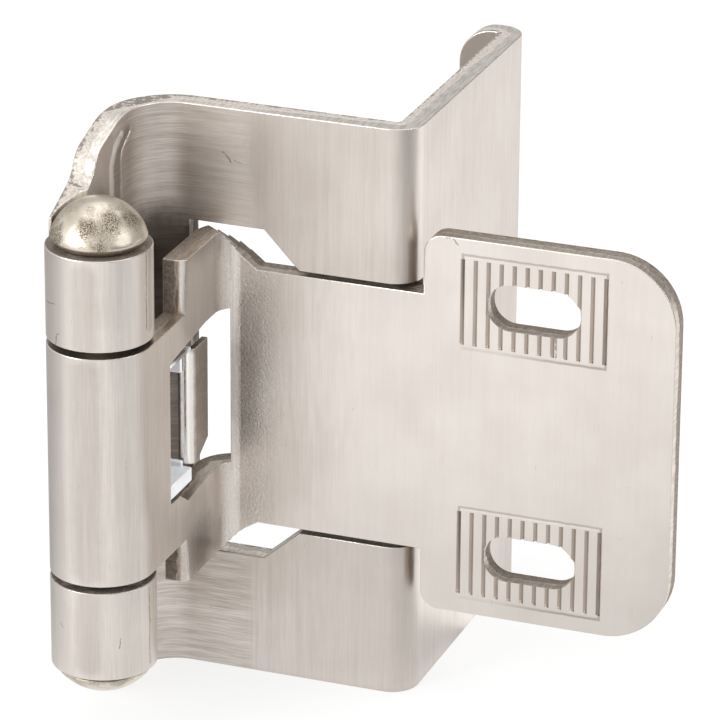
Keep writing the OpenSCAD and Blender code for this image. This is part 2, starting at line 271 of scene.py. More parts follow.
def sheared_edge() -> bpy.types.NodeTree:
    """The cut edge of the sheet: a burnished band on the punch's side and a torn band behind it.

    Returns:
        A group that reads the marks on the mesh, and puts out a mask, a shade, the torn share and a height.
    """
    made = Group("sheared_edge", {"Burnished": 0.35, "Depth": 0.05}, ["Mask", "Shade", "Torn", "Height"])
    place = made.place()
    across = made.mark("across")
    wander = made.number("MULTIPLY", made.number("SUBTRACT", made.noise(place, 1.1), 0.5), 0.8)
    border = made.number("ADD", made.given["Burnished"], wander)
    torn = made.ramp(made.number("SUBTRACT", across, border), -0.12, 0.12)
    crumbs = made.noise(place, 5.5, detail=4.0, roughness=0.7)
    drawn = made.noise(made.vector("MULTIPLY", place, (6.0, 0.9, 6.0)).outputs[0], 1.0, detail=2.0)
    mask = made.mark("cut_edge")
    shade = made.blend(torn, drawn, crumbs)
    made.feed(made.result["Mask"], mask)
    made.feed(made.result["Shade"], made.ramp(shade, 0.3, 0.7, -1.0, 1.0))
    made.feed(made.result["Torn"], made.number("MULTIPLY", torn, mask))
    height = made.number("MULTIPLY", made.number("MULTIPLY", crumbs, torn), made.given["Depth"])
    made.feed(made.result["Height"], made.number("MULTIPLY", height, mask))
    return made.tree


def straight_band() -> bpy.types.NodeTree:
    """One straight band between two points, for scratches and smudge marks, and for bands of painted shade, shadow or
    highlight.

    Returns:
        A group that takes the two ends and a width in millimetres, and puts out a mask.
    """
    made = Group("straight_band", {"From": (0.0, 0.0, 0.0), "To": (0.0, 0.0, 1.0), "Width": 0.06}, ["Mask"])
    place = made.place()
    wobble = made.node("ShaderNodeTexNoise")
    made.feed(wobble.inputs["Vector"], place)
    made.feed(wobble.inputs["Scale"], 1.6)
    shaken = made.vector("MULTIPLY_ADD", wobble.outputs["Color"], (0.3, 0.3, 0.3), place).outputs[0]
    shaken = made.vector("SUBTRACT", shaken, (0.15, 0.15, 0.15)).outputs[0]
    away = made.vector("SUBTRACT", shaken, made.given["From"]).outputs[0]
    line = made.vector("SUBTRACT", made.given["To"], made.given["From"]).outputs[0]
    along = made.vector("DOT_PRODUCT", away, line).outputs["Value"]
    length = made.vector("DOT_PRODUCT", line, line).outputs["Value"]
    share = made.number("DIVIDE", along, length, clamp=True)
    foot = made.vector("SCALE", line)
    made.feed(foot.inputs["Scale"], share)
    off = made.vector("SUBTRACT", away, foot.outputs[0]).outputs[0]
    distance = made.vector("LENGTH", off).outputs["Value"]
    thin = made.number("MULTIPLY", made.given["Width"], 0.35)
    made.feed(made.result["Mask"], made.ramp(distance, thin, made.given["Width"], 1.0, 0.0))
    return made.tree


def crevice_grime_and_shade() -> bpy.types.NodeTree:
    """Dirt and painted shade in corners that neither brush nor cloth reaches: darker where walls stand close.

    Returns:
        A group that takes how far a wall may be to count, in millimetres, and puts out a mask.
    """
    made = Group("crevice_grime_and_shade", {"Reach": 1.0, "Open": 0.75, "Closed": 0.2}, ["Mask"])
    hidden = made.node("ShaderNodeAmbientOcclusion", samples=4)
    made.feed(hidden.inputs["Distance"], made.number("MULTIPLY", made.given["Reach"], MM))
    shaken = made.number("ADD", hidden.outputs["AO"], made.number("MULTIPLY", made.noise(made.place(), 2.2, detail=3.0), 0.16))
    made.feed(made.result["Mask"], made.ramp(shaken, made.given["Closed"], made.given["Open"], 1.0, 0.0))
    return made.tree


def coined_border() -> bpy.types.NodeTree:
    """The border that the coining punch left round a pad.

    Returns:
        A group that takes the pad's middle and half its size in millimetres, and puts out a mask for the line and
        a height.
    """
    given = {"Middle": (0.0, 0.0, 0.0), "Half": (1.0, 1.0, 1.0), "Depth": 0.03}
    made = Group("coined_border", given, ["Mask", "Height"])
    away = made.vector("SUBTRACT", made.place(), made.given["Middle"]).outputs[0]
    past = made.vector("SUBTRACT", made.vector("ABSOLUTE", away).outputs[0], made.given["Half"]).outputs[0]
    split = made.node("ShaderNodeSeparateXYZ")
    made.feed(split.inputs[0], past)
    side = made.node("ShaderNodeSeparateXYZ")
    made.feed(side.inputs[0], away)
    rim = made.number("MAXIMUM", split.outputs["X"], split.outputs["Z"])
    wander = made.number("MULTIPLY", made.number("SUBTRACT", made.noise(made.place(), 1.4), 0.5), 0.12)
    off = made.number("ABSOLUTE", made.number("ADD", rim, wander))
    line = made.ramp(off, 0.03, 0.13, 1.0, 0.0)
    struck = made.ramp(made.number("MAXIMUM", side.outputs["X"], side.outputs["Z"]), -3.0, 2.4, 0.1, 1.0)
    front = made.ramp(split.outputs["Y"], -0.1, 0.1, 1.0, 0.0)
    made.feed(made.result["Mask"], made.number("MULTIPLY", made.number("MULTIPLY", line, struck), front))
    inside = made.number("MULTIPLY", made.ramp(rim, -0.22, 0.08, 1.0, 0.0), front)
    made.feed(made.result["Height"], made.number("MULTIPLY", inside, made.given["Depth"]))
    return made.tree


def soft_blob() -> bpy.types.NodeTree:
    """A round patch that fades out.

    Returns:
        A group that takes the patch's middle and its inner and outer radius in millimetres, and puts out a mask.
    """
    made = Group("soft_blob", {"Middle": (0.0, 0.0, 0.0), "Inner": 0.4, "Outer": 1.2}, ["Mask"])
    away = made.vector("SUBTRACT", made.place(), made.given["Middle"]).outputs[0]
    far = made.vector("LENGTH", away).outputs["Value"]
    shaken = made.number("ADD", far, made.number("MULTIPLY", made.number("SUBTRACT", made.noise(made.place(), 1.6), 0.5), 1.0))
    made.feed(made.result["Mask"], made.ramp(shaken, made.given["Inner"], made.given["Outer"], 1.0, 0.0))
    return made.tree


def stray_lines() -> bpy.types.NodeTree:
    """Thin dark lines that handling left here and there.

    Returns:
        A group that takes how fast the pattern changes along each axis and how many lines there are, and puts out
        a mask.
    """
    made = Group("stray_lines", {"Density": (6.0, 6.0, 0.5), "Share": 0.1}, ["Mask"])
    place = made.vector("MULTIPLY", made.place(), made.given["Density"]).outputs[0]
    lines = made.noise(place, 1.0, detail=4.0, roughness=0.75)
    edge = made.number("SUBTRACT", 0.76, made.number("MULTIPLY", made.given["Share"], 0.5))
    mask = made.ramp(lines, edge, made.number("ADD", edge, 0.05))
    some = made.ramp(made.noise(made.place(), 0.45, detail=2.0), 0.42, 0.6)
    made.feed(made.result["Mask"], made.number("MULTIPLY", mask, some))
    return made.tree


Stroke = tuple[Point, Point, float]
Spot = tuple[Point, float, float]


@dataclass(frozen=True)
class Effects:
    """The node groups that the finishes share."""

    grain: bpy.types.NodeTree
    tone: bpy.types.NodeTree
    pits: bpy.types.NodeTree
    shear: bpy.types.NodeTree
    stroke_band: bpy.types.NodeTree
    grime_and_shade: bpy.types.NodeTree
    border: bpy.types.NodeTree
    blob: bpy.types.NodeTree
    stray: bpy.types.NodeTree

    @classmethod
    def build(cls) -> "Effects":
        """Builds each group once."""
        return cls(
            brushed_grain(), cloudy_tone(), pitted_skin(), sheared_edge(), straight_band(),
            crevice_grime_and_shade(), coined_border(), soft_blob(), stray_lines(),
        )

    def strokes(self, graph: Graph, strokes: tuple[Stroke, ...]) -> Value:
        """All of these strokes as one mask: scratches, smudge marks, or bands of painted shade or highlight.

        Args:
            graph: The material's tree.
            strokes: Each stroke's two ends and width, in millimetres.

        Returns:
            The mask.
        """
        marked: Value = 0.0
        for start, end, width in strokes:
            stroke = graph.group(self.stroke_band, From=start, To=end, Width=width)
            marked = graph.number("MAXIMUM", marked, stroke.outputs["Mask"])
        return marked


class Brushing(Enum):
    """Which way a wing's flat faces were brushed."""

    UPRIGHT = (9.0, 9.0, 0.3)
    LEVEL = (0.45, 0.45, 13.0)


@dataclass(frozen=True)
class SatinNickel:
    """Brushed and plated sheet, with sheared edges, marks, and painted shade and highlights."""

    effects: Effects
    name: str = "satin_nickel"
    light: Colour = (0.80, 0.745, 0.695)
    dark: Colour = (0.37, 0.31, 0.265)
    edge_light: Colour = (0.46, 0.40, 0.345)
    # Dark for torn edges and marks, and for painted shade in crevices, recesses, along the crease and over the
    # knuckles.
    edge_dark_and_shade: Colour = (0.12, 0.10, 0.085)
    # Dark colour for the crumbs on torn edges, for the painted shade spots and for the painted shadow bands.
    grime_and_shade: Colour = (0.10, 0.075, 0.06)
    # Almost white for the painted highlight beside the crease.
    polish_and_highlight: Colour = (0.98, 0.96, 0.93)
    roughness: float = 0.36
    scratches: tuple[Stroke, ...] = ()
    smudges_and_shade: tuple[Stroke, ...] = ()
    creases_with_shade: tuple[Stroke, ...] = ()
    ridges_with_highlight: tuple[Stroke, ...] = ()
    shadows: tuple[Stroke, ...] = ()
    pads: tuple[Point, ...] = ()
    painted_shade_spots: tuple[Spot, ...] = ()
    painted_shade_strength: float = 0.8
    recess_shading: float = 0.15
    tearing: float = 0.5
    crumbling: float = 0.3

    def brushing(self, graph: Graph) -> tuple[Value, Value, Value]:
        """The brush lines, as a shade, a roughness and a height."""
        upright = graph.group(self.effects.grain, Density=Brushing.UPRIGHT.value, Depth=0.004)
        return upright.outputs["Shade"], upright.outputs["Roughness"], upright.outputs["Height"]

    def build(self) -> bpy.types.Material:
        """Builds the material.

        Returns:
            The finished material, under its own name.
        """
        material = bpy.data.materials.new(self.name)
        material.use_nodes = True
        graph = Graph(material.node_tree)
        shade, rough, height = self.brushing(graph)
        tone = graph.group(self.effects.tone, Patch=6.0).outputs["Shade"]
        pits = graph.group(self.effects.pits, Speck=0.35, Share=0.06, Depth=0.006)
        shear = graph.group(self.effects.shear, Burnished=-0.1, Depth=0.045)
        near_grime_and_shade = graph.group(self.effects.grime_and_shade, Reach=0.9, Open=0.62, Closed=0.25).outputs["Mask"]
        # Painted shade in soft round spots, over pockets and ears that lie in shade.
        painted_shade: Value = 0.0
        for middle, inner, outer in self.painted_shade_spots:
            spot = graph.group(self.effects.blob, Middle=middle, Inner=inner, Outer=outer)
            painted_shade = graph.number("MAXIMUM", painted_shade, spot.outputs["Mask"])
        painted_shade = graph.number("MULTIPLY", painted_shade, graph.ramp(graph.mark("across"), 0.6, 0.95, 1.0, 0.0))
        upright = graph.group(self.effects.stray, Density=(7.0, 7.0, 0.7), Share=0.22).outputs["Mask"]
        random = graph.group(self.effects.stray, Density=(1.6, 1.6, 1.6), Share=0.12).outputs["Mask"]
        fine = graph.group(self.effects.stray, Density=(2.8, 2.8, 2.2), Share=0.16).outputs["Mask"]
        stray = graph.number("MAXIMUM", graph.number("MAXIMUM", upright, random), fine)
        scored = self.effects.strokes(graph, self.scratches)
        smudged_and_shaded = self.effects.strokes(graph, self.smudges_and_shade)
        crease_and_shade = self.effects.strokes(graph, self.creases_with_shade)
        ridge_highlight = self.effects.strokes(graph, self.ridges_with_highlight)
        shadowed: Value = 0.0
        for shadow in self.shadows:
            layer = graph.number("MULTIPLY", self.effects.strokes(graph, (shadow,)), 1.0 / len(self.shadows))
            shadowed = graph.number("ADD", shadowed, layer)
        lined: Value = 0.0
        coined: Value = 0.0
        for middle in self.pads:
            pad = graph.group(self.effects.border, Middle=middle, Half=(4.95, 0.4, 3.3), Depth=0.03)
            lined = graph.number("MAXIMUM", lined, pad.outputs["Mask"])
            coined = graph.number("ADD", coined, pad.outputs["Height"])

        mixed = graph.number("ADD", shade, graph.number("MULTIPLY", tone, 0.07))
        face = graph.mix(graph.number("ADD", 0.12, mixed, clamp=True), self.light, self.dark)
        face = graph.mix(graph.number("MULTIPLY", pits.outputs["Mask"], 0.5), face, self.dark)
        face = graph.mix(graph.number("MULTIPLY", stray, 0.3), face, self.edge_dark_and_shade)
        face = graph.mix(graph.number("MULTIPLY", scored, 0.7), face, self.edge_dark_and_shade)
        # Smudge marks, and painted shade over the knuckles, the ears and the web's top.
        face = graph.mix(graph.number("MULTIPLY", smudged_and_shaded, 0.3), face, self.edge_dark_and_shade)
        # The crease's groove, with painted shade laid along it.
        face = graph.mix(graph.number("MULTIPLY", crease_and_shade, 0.6), face, self.edge_dark_and_shade)
        # Painted highlight along the crease's lit side.
        face = graph.mix(graph.number("MULTIPLY", ridge_highlight, 0.9), face, self.polish_and_highlight)
        face = graph.mix(graph.number("MULTIPLY", lined, 0.45), face, self.edge_dark_and_shade)
        torn = shear.outputs["Torn"]
        depth = graph.number("ADD", graph.number("MULTIPLY", shear.outputs["Shade"], 0.22), graph.number("MULTIPLY", torn, self.tearing))
        edge = graph.mix(graph.number("ADD", depth, 0.12, clamp=True), self.edge_light, self.edge_dark_and_shade)
        crumbs = graph.noise(graph.place(), 2.6, detail=4.0, roughness=0.65)
        crumbs = graph.number("ADD", graph.mark("across"), graph.ramp(crumbs, 0.35, 0.65, -0.25, 0.25))
        edge = graph.mix(graph.number("MULTIPLY", graph.ramp(crumbs, 0.72, 0.82), self.crumbling), edge, self.grime_and_shade)
        worn = graph.mark("worn")
        colour = graph.mix(shear.outputs["Mask"], face, edge)
        # Painted shade in recesses: the grooves and the rings round the pin's heads.
        colour = graph.mix(graph.number("MULTIPLY", graph.mark("recess_shade"), self.recess_shading), colour, self.edge_dark_and_shade)
        colour = graph.mix(graph.number("MULTIPLY", worn, 0.35), colour, self.light)
        # Dirt and painted shade in crevices, from ambient occlusion, mostly kept out of the grooves.
        open_groove = graph.number("SUBTRACT", 1.0, graph.number("MULTIPLY", graph.mark("recess_shade"), 0.85))
        colour = graph.mix(graph.number("MULTIPLY", graph.number("MULTIPLY", near_grime_and_shade, 0.5), open_groove), colour, self.edge_dark_and_shade)
        colour = graph.mix(graph.number("MULTIPLY", painted_shade, self.painted_shade_strength), colour, self.grime_and_shade)
        colour = graph.mix(graph.number("MULTIPLY", shadowed, 0.42), colour, self.grime_and_shade)

        gloss = graph.number("ADD", self.roughness, graph.number("MULTIPLY", rough, 0.035))
        gloss = graph.number("ADD", gloss, graph.number("MULTIPLY", torn, 0.3))
        gloss = graph.number("SUBTRACT", gloss, graph.number("MULTIPLY", worn, 0.08))
        relief = graph.number("ADD", height, pits.outputs["Height"])
        relief = graph.number("ADD", relief, shear.outputs["Height"])
        relief = graph.number("ADD", relief, coined)
        relief = graph.number("SUBTRACT", relief, graph.number("MULTIPLY", scored, 0.004))
        relief = graph.number("SUBTRACT", relief, graph.number("MULTIPLY", crease_and_shade, 0.2))
        relief = graph.number("ADD", relief, graph.number("MULTIPLY", ridge_highlight, 0.06))
        bump = graph.node("ShaderNodeBump")
        bump.inputs["Distance"].default_value = MM
        bump.inputs["Strength"].default_value = 1.0
        graph.feed(bump.inputs["Height"], relief)

        shader = graph.node("ShaderNodeBsdfPrincipled")
        shader.inputs["Metallic"].default_value = 1.0
        graph.feed(shader.inputs["Base Color"], colour)
        graph.feed(shader.inputs["Roughness"], gloss)
        graph.feed(shader.inputs["Normal"], bump.outputs["Normal"])
        out = graph.node("ShaderNodeOutputMaterial")
        graph.feed(out.inputs["Surface"], shader.outputs[0])
        return material


@dataclass(frozen=True)
class FrameNickel(SatinNickel):
    """The frame wing's finish: brushed upright, but level behind the knuckles, and smooth on its web, with painted
    shade over the plate behind the knuckles.
    """

    level_until: float = -9.8
    crease_y: float = -17.3

    def brushing(self, graph: Graph) -> tuple[Value, Value, Value]:
        """The brush lines, as a shade, a roughness and a height; the shade also holds painted shade over the plate
        behind the knuckles.
        """
        upright = graph.group(self.effects.grain, Density=Brushing.UPRIGHT.value, Depth=0.004)
        level = graph.group(self.effects.grain, Density=Brushing.LEVEL.value, Depth=0.006)
        split = graph.node("ShaderNodeSeparateXYZ")
        graph.feed(split.inputs[0], graph.place())
        left = graph.ramp(split.outputs["X"], self.level_until - 0.8, self.level_until + 0.8, 1.0, 0.0)
        inner = graph.ramp(graph.mark("across"), -0.5, 0.0, 1.0, 0.0)
        turned = graph.number("MULTIPLY", left, graph.ramp(split.outputs["Y"], self.crease_y - 0.3, self.crease_y + 0.3))
        turned = graph.number("MULTIPLY", turned, inner)
        web = graph.ramp(split.outputs["Y"], self.crease_y - 3.5, self.crease_y - 2.5)
        web = graph.number("MULTIPLY", web, graph.ramp(split.outputs["Y"], self.crease_y - 0.3, self.crease_y + 0.3, 1.0, 0.0))
        kept = graph.number("SUBTRACT", 1.0, graph.number("MULTIPLY", web, 0.75))
        shade = graph.blend(turned, upright.outputs["Shade"], level.outputs["Shade"])
        strength = graph.number("MULTIPLY", kept, graph.ramp(split.outputs["X"], -10.0, -4.0, 0.10, 0.06))
        strength = graph.number("ADD", strength, graph.number("MULTIPLY", turned, 0.2))
        # Painted shade over the plate behind the knuckles, made lighter again over an upper middle area with painted
        # light.
        painted_shade = graph.ramp(split.outputs["Y"], self.crease_y - 5.0, self.crease_y - 3.0, 0.0, 0.27)
        painted_light_patch = graph.number("MULTIPLY", graph.ramp(split.outputs["X"], -14.0, -10.5), graph.ramp(split.outputs["X"], -8.0, -5.0, 1.0, 0.0))
        painted_light_patch = graph.number("MULTIPLY", painted_light_patch, graph.ramp(split.outputs["Z"], 0.0, 5.0))
        painted_shade = graph.number("SUBTRACT", painted_shade, graph.number("MULTIPLY", painted_light_patch, 0.24))
        shade = graph.number("ADD", graph.number("MULTIPLY", shade, strength), painted_shade)
        rough = graph.blend(turned, upright.outputs["Roughness"], level.outputs["Roughness"])
        rough = graph.number("ADD", rough, graph.number("MULTIPLY", turned, 3.5))
        height = graph.blend(turned, upright.outputs["Height"], level.outputs["Height"])
        return shade, rough, graph.number("MULTIPLY", height, kept)


@dataclass(frozen=True)
class DoorNickel(SatinNickel):
    """The door wing's finish: brushed on its knuckle, pebbled in its bend and nearly smooth on its flange."""

    bend_from: float = -13.2
    bend_to: float = -6.8

    def brushing(self, graph: Graph) -> tuple[Value, Value, Value]:
        """The brush lines, as a shade, a roughness and a height."""
        upright = graph.group(self.effects.grain, Density=Brushing.UPRIGHT.value, Depth=0.004)
        split = graph.node("ShaderNodeSeparateXYZ")
        graph.feed(split.inputs[0], graph.place())
        fading = graph.ramp(split.outputs["X"], -11.0, 0.0, 0.10, 0.028)
        shade = graph.number("MULTIPLY", upright.outputs["Shade"], fading)
        bend = graph.ramp(split.outputs["X"], self.bend_from, self.bend_from + 0.5)
        bend = graph.number("MULTIPLY", bend, graph.ramp(split.outputs["X"], self.bend_to - 3.6, self.bend_to, 1.0, 0.0))
        bend = graph.number("MULTIPLY", bend, graph.ramp(split.outputs["Y"], -14.5, -13.0))
        pebbles = graph.noise(graph.place(), 5.5, detail=3.0, roughness=0.6)
        shade = graph.number("ADD", shade, graph.number("MULTIPLY", bend, graph.ramp(pebbles, 0.3, 0.7, -0.06, 0.14)))
        pressed = graph.number("MULTIPLY", graph.number("MULTIPLY", bend, pebbles), 0.03)
        calm = graph.number("MULTIPLY", upright.outputs["Height"], graph.ramp(split.outputs["X"], -11.0, 0.0, 1.0, 0.3))
        return shade, upright.outputs["Roughness"], graph.number("ADD", calm, pressed)


@dataclass(frozen=True)
class BrightNickel:
    """Glossy plating on the pin's two domes, worn by rubbing and speckled, with a painted dark reflection across the
    top dome and along its left rim.
    """

    effects: Effects
    name: str = "bright_nickel"
    light: Colour = (0.78, 0.71, 0.60)
    dark: Colour = (0.36, 0.29, 0.21)
    # Dark for the specks, and for the dirt and painted shade where walls stand close.
    speck: Colour = (0.11, 0.09, 0.075)
    # Painted dark reflection: a band across the top dome and a strip along its left rim.
    painted_reflection_spots: tuple[Spot, ...] = (
        ((-15.05, -26.35, 16.45), 0.3, 1.2),
        ((-13.9, -25.5, 16.55), 0.4, 1.35),
        ((-13.05, -24.1, 16.6), 0.3, 1.3),
        ((-13.95, -27.05, 15.4), 0.2, 0.9),
        ((-17.5, -26.2, 15.6), 0.6, 1.3),
        ((-17.9, -25.0, 15.9), 0.5, 1.2),
        ((-17.6, -23.6, 16.3), 0.2, 1.1),
    )

    def build(self) -> bpy.types.Material:
        """Builds the material.

        Returns:
            The finished material.
        """
        material = bpy.data.materials.new(self.name)
        material.use_nodes = True
        graph = Graph(material.node_tree)
        tone = graph.group(self.effects.tone, Patch=1.6).outputs["Shade"]
        pits = graph.group(self.effects.pits, Speck=0.085, Share=0.55, Depth=0.012)
        # Random tone, and the painted dark reflection from the spots.
        patch: Value = graph.ramp(graph.group(self.effects.tone, Patch=2.6).outputs["Shade"], 0.1, 0.9, 0.0, 0.5)
        for middle, inner, outer in self.painted_reflection_spots:
            blob = graph.group(self.effects.blob, Middle=middle, Inner=inner, Outer=outer)
            patch = graph.number("MAXIMUM", patch, blob.outputs["Mask"])
        specks = graph.number("MULTIPLY", pits.outputs["Mask"], patch)
        tone_and_reflection_mix = graph.number("ADD", graph.number("MULTIPLY", tone, 0.10), 0.10, clamp=True)
        tone_and_reflection_mix = graph.number("ADD", tone_and_reflection_mix, graph.number("MULTIPLY", patch, 0.55), clamp=True)
        colour = graph.mix(tone_and_reflection_mix, self.light, self.dark)
        colour = graph.mix(graph.number("MULTIPLY", specks, 0.85), colour, self.speck)
        # Dirt and painted shade where walls stand close to the dome.
        grime_and_shade = graph.group(self.effects.grime_and_shade, Reach=0.6, Open=0.6, Closed=0.2).outputs["Mask"]
        colour = graph.mix(graph.number("MULTIPLY", grime_and_shade, 0.45), colour, self.speck)
        gloss = graph.number("ADD", 0.28, graph.number("MULTIPLY", specks, 0.3))
        gloss = graph.number("ADD", gloss, graph.number("MULTIPLY", patch, 0.12))
        bump = graph.node("ShaderNodeBump")
        bump.inputs["Distance"].default_value = MM
        graph.feed(bump.inputs["Height"], graph.number("MULTIPLY", specks, -0.02))
        shader = graph.node("ShaderNodeBsdfPrincipled")
        shader.inputs["Metallic"].default_value = 1.0
        graph.feed(shader.inputs["Base Color"], colour)
        graph.feed(shader.inputs["Roughness"], gloss)
        graph.feed(shader.inputs["Normal"], bump.outputs["Normal"])
        out = graph.node("ShaderNodeOutputMaterial")
        graph.feed(out.inputs["Surface"], shader.outputs[0])
        return material


@dataclass(frozen=True)
class SpringSteel:
    """Rolled spring strip with a light oil tint, and a painted highlight down its nose."""

    effects: Effects
    name: str = "spring_steel"
    light: Colour = (0.46, 0.40, 0.355)
    dark: Colour = (0.22, 0.18, 0.155)
    # Almost white for light scores and for the painted highlight on the nose.
    polish_and_highlight: Colour = (0.96, 0.92, 0.87)
    # Where the painted highlight runs down the nose.
    lip: Stroke = ((-12.2, -16.8, 4.4), (-12.2, -16.8, -2.9), 0.8)

    def build(self) -> bpy.types.Material:
        """Builds the material.

        Returns:
            The finished material.
        """
        material = bpy.data.materials.new(self.name)
        material.use_nodes = True
        graph = Graph(material.node_tree)
        grain = graph.group(self.effects.grain, Density=Brushing.UPRIGHT.value, Depth=0.004)
        tone = graph.group(self.effects.tone, Patch=1.5).outputs["Shade"]
        mixed = graph.number("ADD", graph.number("MULTIPLY", grain.outputs["Shade"], 0.15), graph.number("MULTIPLY", tone, 0.15))
        colour = graph.mix(graph.number("ADD", 0.25, mixed, clamp=True), self.light, self.dark)
        worn = graph.mark("worn")
        colour = graph.mix(graph.number("MULTIPLY", worn, 0.6), colour, (0.78, 0.74, 0.69))
        lip_highlight = self.effects.strokes(graph, (self.lip,))
        scores = graph.group(self.effects.stray, Density=(2.4, 2.4, 1.1), Share=0.3).outputs["Mask"]
        colour = graph.mix(graph.number("MULTIPLY", scores, 0.35), colour, self.polish_and_highlight)
        # Painted highlight down the nose.
        colour = graph.mix(graph.number("MULTIPLY", lip_highlight, 0.95), colour, self.polish_and_highlight)
        bump = graph.node("ShaderNodeBump")
        bump.inputs["Distance"].default_value = MM
        graph.feed(bump.inputs["Height"], grain.outputs["Height"])
        shader = graph.node("ShaderNodeBsdfPrincipled")
        shader.inputs["Metallic"].default_value = 1.0
        graph.feed(shader.inputs["Base Color"], colour)
        graph.feed(shader.inputs["Roughness"], graph.number("ADD", 0.28, graph.number("MULTIPLY", grain.outputs["Roughness"], 0.05)))
        graph.feed(shader.inputs["Normal"], bump.outputs["Normal"])
        out = graph.node("ShaderNodeOutputMaterial")
        graph.feed(out.inputs["Surface"], shader.outputs[0])
        return material


@dataclass(frozen=True)
class WhiteNylon:
    """Moulded nylon, a little see-through and cool in tone."""

    effects: Effects
    name: str = "white_nylon"
    light: Colour = (0.78, 0.80, 0.82)
    dark: Colour = (0.62, 0.65, 0.68)
    shaded: Colour = (0.13, 0.105, 0.09)
    shaded_spot: Spot = ((-12.3, -18.6, 5.4), 0.7, 1.9)

    def build(self) -> bpy.types.Material:
        """Builds the material.

        Returns:
            The finished material.
        """
        material = bpy.data.materials.new(self.name)
        material.use_nodes = True
        graph = Graph(material.node_tree)
        tone = graph.group(self.effects.tone, Patch=1.2).outputs["Shade"]
        pits = graph.group(self.effects.pits, Speck=0.25, Share=0.2, Depth=0.006)
        colour = graph.mix(graph.number("ADD", 0.2, graph.number("MULTIPLY", tone, 0.2), clamp=True), self.light, self.dark)
        middle, inner, outer = self.shaded_spot
        spot = graph.group(self.effects.blob, Middle=middle, Inner=inner, Outer=outer).outputs["Mask"]
        colour = graph.mix(graph.number("MULTIPLY", spot, 0.85), colour, self.shaded)
        bump = graph.node("ShaderNodeBump")
        bump.inputs["Distance"].default_value = MM
        graph.feed(bump.inputs["Height"], pits.outputs["Height"])
        shader = graph.node("ShaderNodeBsdfPrincipled")
        shader.inputs["Subsurface Weight"].default_value = 0.12
        shader.inputs["Subsurface Scale"].default_value = 0.4 * MM
        graph.feed(shader.inputs["Base Color"], colour)
        graph.feed(shader.inputs["Roughness"], graph.number("ADD", 0.42, graph.number("MULTIPLY", pits.outputs["Mask"], 0.15)))
        graph.feed(shader.inputs["Normal"], bump.outputs["Normal"])
        out = graph.node("ShaderNodeOutputMaterial")
        graph.feed(out.inputs["Surface"], shader.outputs[0])
        return material


def arc(centre: tuple[float, float], radius: float, start: float, end: float) -> list[tuple[float, float]]:
    """Points along an arc in plan.

    Args:
        centre: Its centre.
        radius: Its radius.
        start: The angle of its first point, in degrees.
        end: The angle of its last point.

    Returns:
        Points some five degrees apart.
    """
    steps = max(2, round(abs(end - start) / 5))
    angles = [math.radians(start + (end - start) * i / steps) for i in range(steps + 1)]
    return [(centre[0] + radius * math.cos(a), centre[1] + radius * math.sin(a)) for a in angles]


class Piece:
    """A solid of the hinge that is finished from its CAD node."""

    def __init__(self, node: str, body: str, slot: str) -> None:
        """Names the piece.

        Args:
            node: The CAD node that it stands for.
            body: The body that it rides on.
            slot: The record's material slot. It is not used.
        """
        self.node = node
        self.body = body
        self.slot = slot

    def solid(self) -> bmesh.types.BMesh:
        """The node's solid with its flat faces joined up again.

        Returns:
            A new mesh, which leaves the node as it is.
        """
        mesh = bmesh.new()
        mesh.from_mesh(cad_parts[self.node].data)
        bmesh.ops.remove_doubles(mesh, verts=mesh.verts, dist=0.0005 * MM)
        bmesh.ops.dissolve_limit(mesh, angle_limit=math.radians(0.5), verts=mesh.verts, edges=mesh.edges)
        return mesh

    def rounds_off(self, edge: bmesh.types.BMEdge) -> bool:
        """Whether this edge is broken, as all sharp outer edges are."""
        return len(edge.link_faces) == 2 and edge.calc_face_angle_signed(0.0) > math.radians(40)

    def break_edges(self, mesh: bmesh.types.BMesh, width: float, segments: int = 2) -> None:
        """Rounds the sharp edges and marks the new faces as worn.

        Args:
            mesh: The solid.
            width: How far the rounding reaches, in millimetres.
            segments: Faces across the rounding.
        """
        worn = mesh.faces.layers.float.get("worn") or mesh.faces.layers.float.new("worn")
        edges = [e for e in mesh.edges if self.rounds_off(e)]
        made = bmesh.ops.bevel(mesh, geom=edges, offset=width * MM, offset_type="OFFSET", segments=segments,
                               profile=0.5, affect="EDGES", clamp_overlap=False, miter_outer="ARC")
        for face in made["faces"]:
            face[worn] = 1.0

    def attach(self, made: bpy.types.Object) -> None:
        """Ties the piece to its body."""
        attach(made, self.body)

    def finish_piece(self, mesh: bmesh.types.BMesh, material: bpy.types.Material, smooth: float = 35.0) -> bpy.types.Object:
        """Makes the object, shades it and lets it stand for its node.

        Args:
            mesh: The shaped solid.
            material: Its finish.
            smooth: The angle in degrees up to which faces run into each other.

        Returns:
            The new piece.
        """
        data = bpy.data.meshes.new(f"{self.node}_finished")
        for edge in mesh.edges:
            edge.smooth = len(edge.link_faces) == 2 and edge.calc_face_angle(0.0) < math.radians(smooth)
        for face in mesh.faces:
            face.smooth = True
        mesh.to_mesh(data)
        mesh.free()
        made = bpy.data.objects.new(f"{self.node}_finished", data)
        bpy.context.scene.collection.objects.link(made)
        made.data.materials.append(material)
        weighted = made.modifiers.new("even_faces", "WEIGHTED_NORMAL")
        weighted.keep_sharp = True
        self.attach(made)
        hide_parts(self.node)
        log.info("%s rides on %s: %d faces", made.name, self.body, len(data.polygons))
        return made


